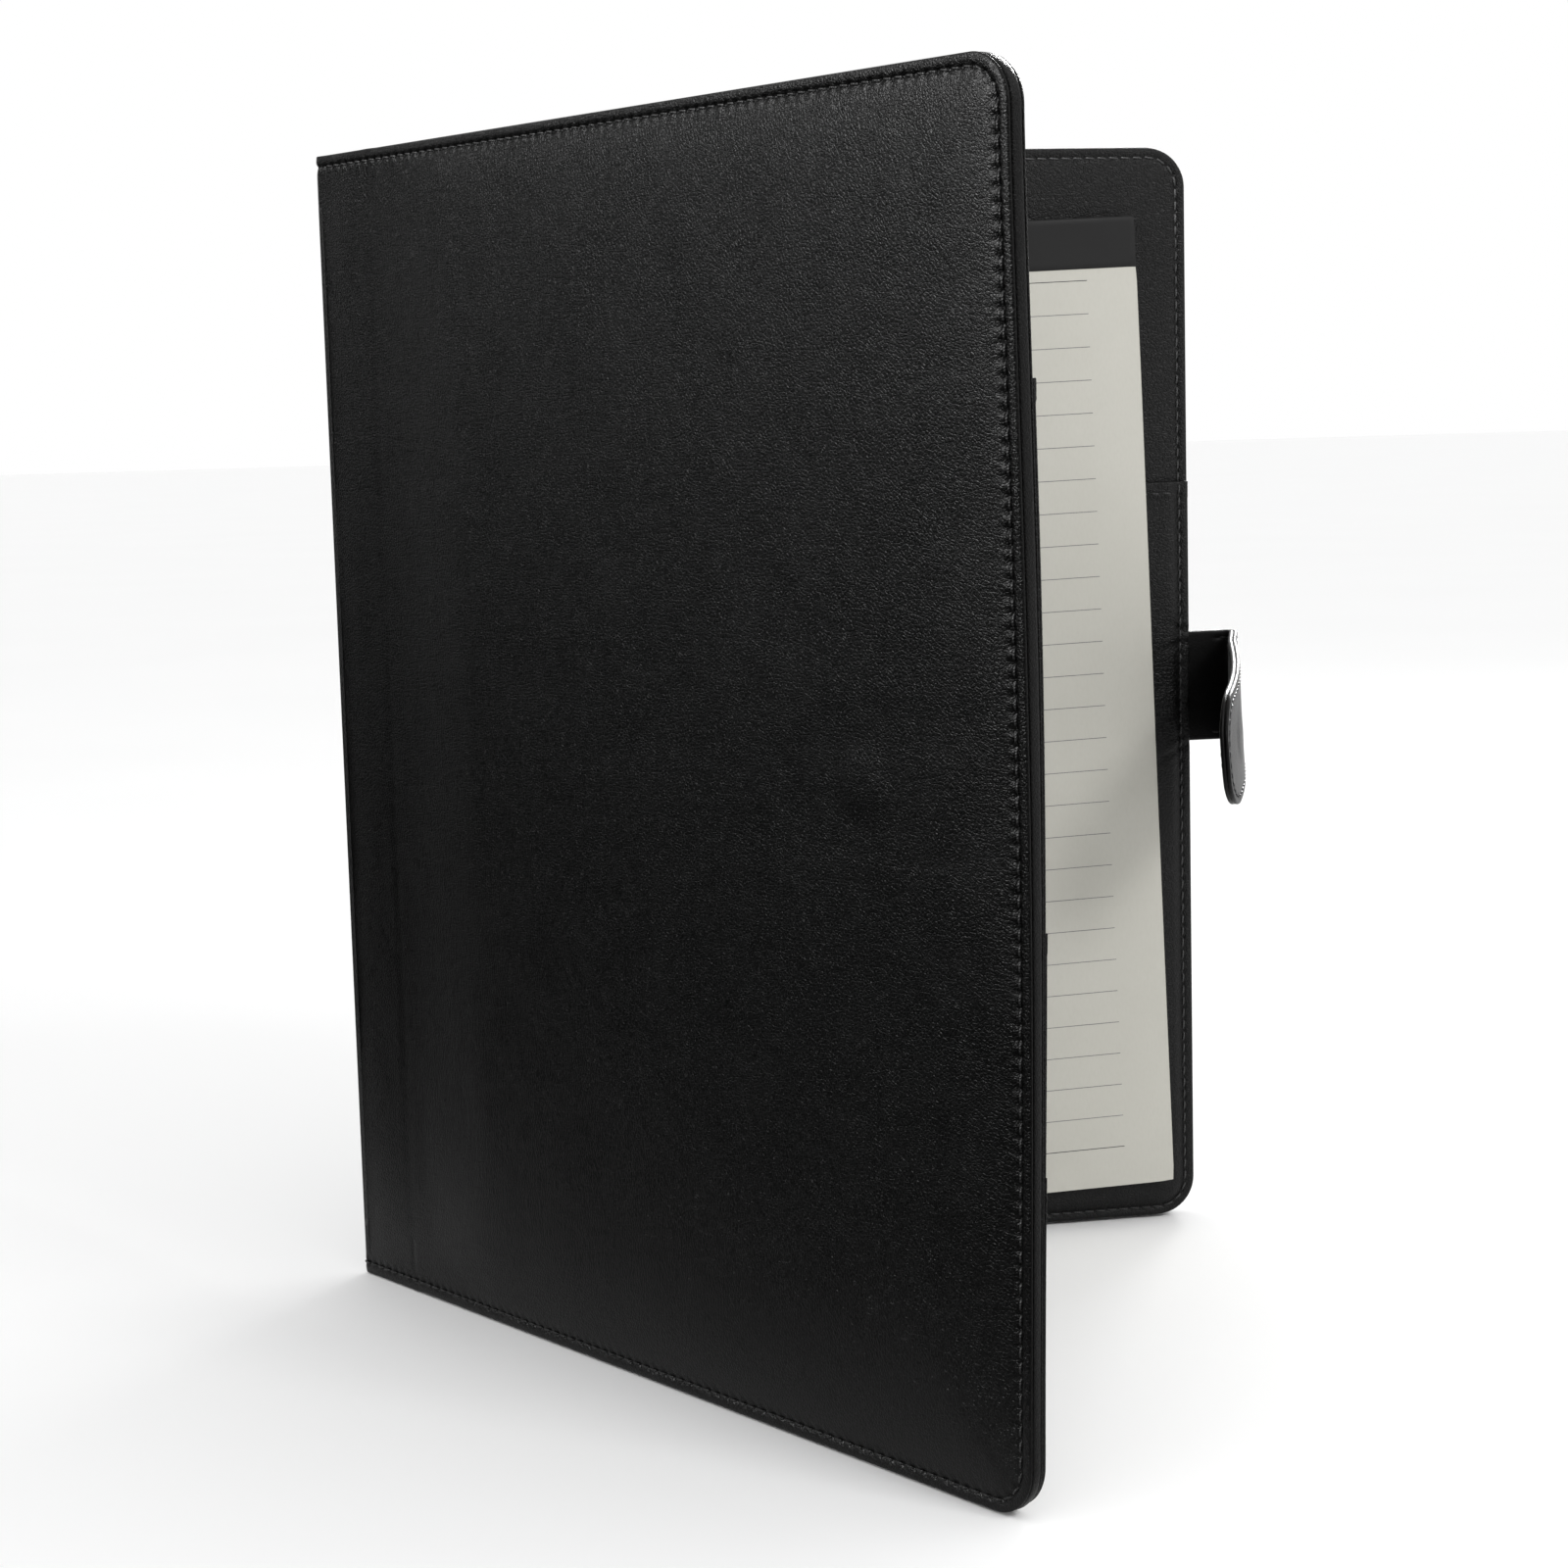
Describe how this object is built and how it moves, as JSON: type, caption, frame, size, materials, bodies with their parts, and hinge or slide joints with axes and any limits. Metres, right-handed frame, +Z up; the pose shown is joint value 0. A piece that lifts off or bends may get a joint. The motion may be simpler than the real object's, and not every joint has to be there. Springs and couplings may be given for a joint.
{
  "type": "leather notebook cover",
  "caption": "Black leather notebook cover that opens like a book, with a ruled pad in a slot, document pockets and a magnetic closing strap.",
  "frame": {"origin": "on the standing surface, below the middle of the back cover's width and thickness", "axes": "+Z up along the covers' height; +X from the spine edge of the back cover to its fore edge; the back cover's inner face looks along -Y"},
  "size_m": [0.2756, 0.2458, 0.33],
  "materials": {
    "outer_leather": "black soft-grain leather, satin, padded",
    "lining_leather": "black fine-grain lining leather",
    "foam": "grey closed-cell padding",
    "board": "grey book board",
    "thread": "black twisted thread",
    "steel": "plain steel sheet",
    "magnet": "nickel-plated",
    "card": "grey backing card",
    "paper": "warm grey ruled writing paper",
    "binding": "smooth black binding strip"
  },
  "bodies": {
    "back_cover": {"back_outer_leather": "outer_leather", "back_foam": "foam", "back_board": "board", "strap_anchor": "outer_leather", "back_lining": "lining_leather", "back_crease_leather": "outer_leather", "back_seam_thread": "thread", "pad_slot_panel": "lining_leather", "slot_hem_left": "lining_leather", "slot_hem_bottom": "lining_leather", "slot_hem_right": "lining_leather", "back_bobbin_thread": "thread"},
    "spine": {"spine_outer_leather": "outer_leather", "spine_board": "board", "spine_lining": "lining_leather", "front_crease_leather": "outer_leather", "spine_seam_thread": "thread"},
    "front_cover": {"front_outer_leather": "outer_leather", "front_foam": "foam", "closure_steel_disc": "steel", "front_board": "board", "front_lining": "lining_leather", "front_seam_thread": "thread", "document_pocket": "lining_leather", "middle_pocket": "lining_leather", "lower_pocket": "lining_leather", "front_bobbin_thread": "thread"},
    "strap_bridge": {"strap_root_fold": "outer_leather", "strap_tab_fold": "outer_leather", "strap_outer_leather": "outer_leather", "strap_inner_leather": "lining_leather"},
    "strap_tab": {"tab_outer_leather": "outer_leather", "tab_inner_leather": "lining_leather", "tab_magnet": "magnet", "tab_seam_thread": "thread"},
    "notepad": {"pad_backing_card": "card", "pad_sheets": "paper", "pad_binding_strip": "binding"}
  },
  "joints": [
    {"name": "back_hinge", "type": "hinge", "parent": "back_cover", "child": "spine", "pos_m": [-0.1313, 0.0024, 0.165], "axis": [0, 0, 1], "range_deg": [-120, 14]},
    {"name": "front_hinge", "type": "hinge", "parent": "spine", "child": "front_cover", "pos_m": [-0.1175, -0.0215, 0.165], "axis": [0, 0, 1], "range_deg": [0, 45]},
    {"name": "strap_root", "type": "hinge", "parent": "back_cover", "child": "strap_bridge", "pos_m": [0.1285, -0.00105, 0.1661], "axis": [0, 0, 1], "range_deg": [-66, 60]},
    {"name": "strap_bend", "type": "hinge", "parent": "strap_bridge", "child": "strap_tab", "pos_m": [0.1425, -0.00105, 0.1661], "axis": [0, 0, 1], "range_deg": [0, 111]},
    {"name": "pad_slide", "type": "slide", "parent": "back_cover", "child": "notepad", "axis": [0, 0, 1], "range_m": [0, 0.235]}
  ]
}
